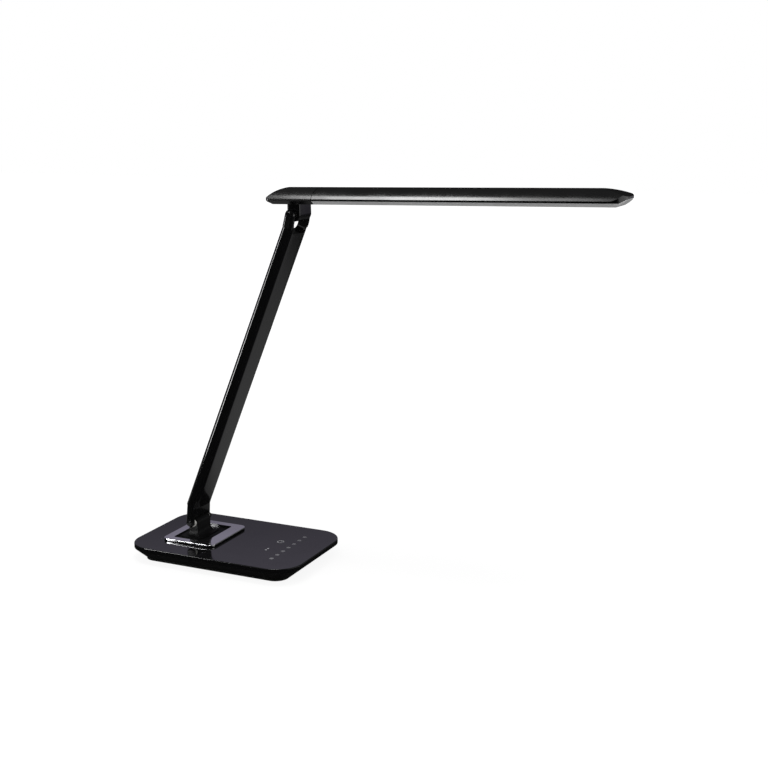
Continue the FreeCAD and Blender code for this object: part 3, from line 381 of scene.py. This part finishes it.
CARD_DISTANCE = 0.9
CARD_HALF_WIDTH = 2.2
BACK_RISE = (0.0, 0.43)
BACK_STOPS = [(0.0, 0.04), (0.45, 0.07), (0.65, 0.14), (0.78, 0.21), (0.92, 0.28), (1.0, 0.29)]
BACK_TINT = (1.02, 0.95, 1.2, 1)
RIGHT_ENDS = ((0.75, 1.18), (1.38, 0.88))
RIGHT_RISE = (0.0, 0.45)
RIGHT_STOPS = [(0.0, 0.3), (1.0, 0.4)]
WINDOW_ENDS = ((1.25, -0.55), (1.15, 0.7))
WINDOW_RISE = (0.0, 0.45)
WINDOW_LEVEL = 1.6
FRONT_ENDS = ((-0.72, -0.82), (-0.2, -1.06))
FRONT_RISE = (0.42, 0.95)
FRONT_STOPS = [(0.0, 0.6), (1.0, 0.4)]
STRIP_ENDS = ((-0.412, -0.4175), (-0.358, -0.4625))
STRIP_RISE = (0.0, 0.6)
STRIP_LEVEL = 19

LAMP_Y = -0.09
LAMP_AIM_Y = -0.055
LAMP_DEEP = 0.16
# Name, place along x, width, watts and height of each overhead lamp
OVERHEAD_LAMPS = (
    ("overhead_narrow", -0.025, 0.14, 0.46, 1.0),
    ("overhead_middle", -0.085, 0.35, 1.3, 1.01),
    ("overhead_wide", -0.03, 0.5, 1.1, 1.02),
)


def make_world():
    """White for the camera, a dim room in reflections, soft light for the rest."""
    world = bpy.data.worlds.new("Studio")
    bpy.context.scene.world = world
    world.use_nodes = True
    nodes = Nodes(world.node_tree)
    world.node_tree.nodes.clear()
    way = nodes.add("TexCoord").outputs["Generated"]
    rise = nodes.add("SeparateXYZ", in_0=way).outputs["Z"]
    room = nodes.ramp(rise, ROOM_STOPS)
    path = nodes.add("LightPath").outputs
    seen = nodes.math("MAXIMUM", path["Is Camera Ray"], path["Is Transmission Ray"])
    soft = nodes.add("Mix", in_0=path["Is Glossy Ray"], in_2=SOFT_LEVEL, in_3=room).outputs[0]
    level = nodes.add("Mix", in_0=seen, in_2=soft, in_3=WHITE).outputs[0]
    shade = nodes.add("Background", in_Color=grey(WHITE), in_Strength=level)
    nodes.add("OutputWorld", in_0=shade.outputs[0])


def make_floor():
    """Pale floor: white to the camera with a faint shadow, graded grey in reflections."""
    bpy.ops.mesh.primitive_plane_add(size=FLOOR_SIZE, location=(0, 0, FLOOR_HEIGHT))
    floor = bpy.context.object
    floor.name = "floor"
    material, nodes = empty_material("floor_pale")
    place = nodes.add("NewGeometry").outputs["Position"]
    depth = nodes.add("VectorMath", operation="DOT_PRODUCT", in_0=place, in_1=BACKWARDS).outputs["Value"]
    away = nodes.add("VectorMath", operation="LENGTH", in_0=place).outputs["Value"]
    mirrored = nodes.ramp(nodes.spread(depth, MIRROR_SPAN, UNIT), MIRROR_STOPS)
    path = nodes.add("LightPath").outputs
    lit = nodes.add("BsdfDiffuse", in_Color=grey(SHADOW_GREY))
    brightness = nodes.spread(away, GLOW_SPAN, GLOW_LEVEL, "SMOOTHSTEP")
    glow = nodes.add("Emission", in_Color=grey(WHITE), in_Strength=brightness)
    shown = nodes.add("AddShader", in_0=lit.outputs[0], in_1=glow.outputs[0])
    in_gloss = nodes.add("Emission", in_Color=grey(WHITE), in_Strength=mirrored)
    table = nodes.add("BsdfDiffuse", in_Color=grey(FLOOR_GREY))
    glossy = path["Is Glossy Ray"]
    other = nodes.add("MixShader", in_0=glossy, in_1=table.outputs[0], in_2=in_gloss.outputs[0])
    seen = nodes.math("MAXIMUM", path["Is Camera Ray"], path["Is Transmission Ray"])
    mixed = nodes.add("MixShader", in_0=seen, in_1=other.outputs[0], in_2=shown.outputs[0])
    nodes.add("OutputMaterial", in_0=mixed.outputs[0])
    floor.data.materials.append(material)


def reflector(name, ends, rise, level, tint=grey(WHITE), lights=False):
    """Upright card that shows in reflections; its level is one number, or stops from its foot to its top."""
    low, high = rise
    (ax, ay), (bx, by) = ends
    mesh = bpy.data.meshes.new(name)
    mesh.from_pydata([(ax, ay, low), (bx, by, low), (bx, by, high), (ax, ay, high)], [], [(0, 1, 2, 3)])
    card = bpy.data.objects.new(name, mesh)
    bpy.context.scene.collection.objects.link(card)
    material, nodes = empty_material(name)
    if isinstance(level, list):
        place = nodes.add("NewGeometry").outputs["Position"]
        height = nodes.add("SeparateXYZ", in_0=place).outputs["Z"]
        level = nodes.ramp(nodes.spread(height, rise, UNIT), level)
    glow = nodes.add("Emission", in_Color=tint, in_Strength=level)
    nodes.add("OutputMaterial", in_0=glow.outputs[0])
    mesh.materials.append(material)
    card.visible_camera = False
    card.visible_diffuse = lights
    card.visible_transmission = False
    card.visible_shadow = False


def make_cards():
    """Cards that the gloss and the chrome mirror; the window card also lights the lamp."""
    back = Vector(BACKWARDS) * CARD_DISTANCE
    side = Vector(SIDEWAYS) * CARD_HALF_WIDTH
    reflector("card_back", ((back - side).xy, (back + side).xy), BACK_RISE, BACK_STOPS, BACK_TINT)
    reflector("card_right", RIGHT_ENDS, RIGHT_RISE, RIGHT_STOPS)
    reflector("card_window", WINDOW_ENDS, WINDOW_RISE, WINDOW_LEVEL, lights=True)
    reflector("card_front", FRONT_ENDS, FRONT_RISE, FRONT_STOPS)
    reflector("card_strip", STRIP_ENDS, STRIP_RISE, STRIP_LEVEL)


def softbox(name, place, target, wide, deep, power):
    """Rectangular studio lamp."""
    data = bpy.data.lights.new(name, "AREA")
    data.shape = "RECTANGLE"
    data.size = wide
    data.size_y = deep
    data.energy = power
    lamp = bpy.data.objects.new(name, data)
    bpy.context.scene.collection.objects.link(lamp)
    look_at(lamp, place, target)
    lamp.visible_camera = False


def make_lights():
    """Three overlapping overhead lamps."""
    for name, x, wide, power, z in OVERHEAD_LAMPS:
        softbox(name, (x, LAMP_Y, z), (x, LAMP_AIM_Y, 0.0), wide, LAMP_DEEP, power)


# Details

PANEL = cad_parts["top_panel"]
PANEL_TOP = max((PANEL.matrix_world @ Vector(corner)).z for corner in PANEL.bound_box)
PRINT_THICK = 0.03 * MM
PRINT_TOP = PANEL_TOP + PRINT_THICK
PRINT_COLOUR = (0.4, 0.4, 0.42)
PRINT_ROUGH = 0.4

ON_OFF_X = 48.6 * MM
ON_OFF_Y = 13.0 * MM
ON_OFF_RADII = (2.9 * MM, 4.1 * MM)
ON_OFF_TURN = (35, 325)
ON_OFF_POINTS = 40
BAR_REACH = (0.6 * MM, 4.4 * MM)
BAR_HALF = 0.5 * MM

LEVEL_X = 46.8 * MM
LEVEL_Y_MM = -14.3
LEVEL_SHIFTS_MM = (-2.3, 2.3)
LEVEL_RADII = (0.3 * MM, 1.3 * MM)
FULL_TURN = (0, 360)
LEVEL_POINTS = 25


def printed_sign(name, builder, material, body):
    """Printed sign from the strips of ink that builder makes."""
    mesh = bpy.data.meshes.new(name)
    work = bmesh.new()
    builder(work)
    work.to_mesh(mesh)
    work.free()
    thing = bpy.data.objects.new(name, mesh)
    bpy.context.scene.collection.objects.link(thing)
    mesh.materials.append(material)
    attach(thing, body)


def row_of_points(work, points, high):
    """Mesh points at one height."""
    return [work.verts.new((x, y, high)) for x, y in points]


def strip_between(work, inner, outer):
    """Strip between two rows of points, with the thickness of the ink and closed at both ends."""
    top_inner = row_of_points(work, inner, PRINT_TOP)
    top_outer = row_of_points(work, outer, PRINT_TOP)
    low_outer = row_of_points(work, outer, PANEL_TOP)
    low_inner = row_of_points(work, inner, PANEL_TOP)
    rows = (top_inner, top_outer, low_outer, low_inner)
    for here, beside in zip(rows, rows[1:] + rows[:1]):
        for i in range(len(here) - 1):
            work.faces.new((here[i], beside[i], beside[i + 1], here[i + 1]))
    work.faces.new([row[0] for row in reversed(rows)])
    work.faces.new([row[-1] for row in rows])


def arc_points(centre, radius, turn, count):
    """Points along an arc, from one turn to another in degrees."""
    start, end = turn
    angles = [math.radians(start + (end - start) * i / (count - 1)) for i in range(count)]
    return [(centre[0] + radius * math.cos(angle), centre[1] + radius * math.sin(angle)) for angle in angles]


def on_off(work):
    """Open ring with a bar in its gap."""
    centre = (ON_OFF_X, ON_OFF_Y)
    inner, outer = (arc_points(centre, radius, ON_OFF_TURN, ON_OFF_POINTS) for radius in ON_OFF_RADII)
    strip_between(work, inner, outer)
    left = [(ON_OFF_X + reach, ON_OFF_Y - BAR_HALF) for reach in BAR_REACH]
    right = [(ON_OFF_X + reach, ON_OFF_Y + BAR_HALF) for reach in BAR_REACH]
    strip_between(work, right, left)


def level_marks(work):
    """Two small rings side by side."""
    for shift in LEVEL_SHIFTS_MM:
        centre = (LEVEL_X, (LEVEL_Y_MM + shift) * MM)
        inner, outer = (arc_points(centre, radius, FULL_TURN, LEVEL_POINTS) for radius in LEVEL_RADII)
        strip_between(work, inner, outer)


def key_marks():
    """Printed signs of the touch keys: an on-off sign and a pair of level marks."""
    print_white = coloured_plastic("key_print", PRINT_COLOUR, PRINT_ROUGH)
    printed_sign("key_on_off", on_off, print_white, "base")
    printed_sign("key_level", level_marks, print_white, "base")


def main():
    make_camera()
    bpy.context.scene.view_settings.view_transform = "Standard"
    make_world()
    make_floor()
    make_cards()
    make_lights()
    dress_nodes()
    key_marks()


main()
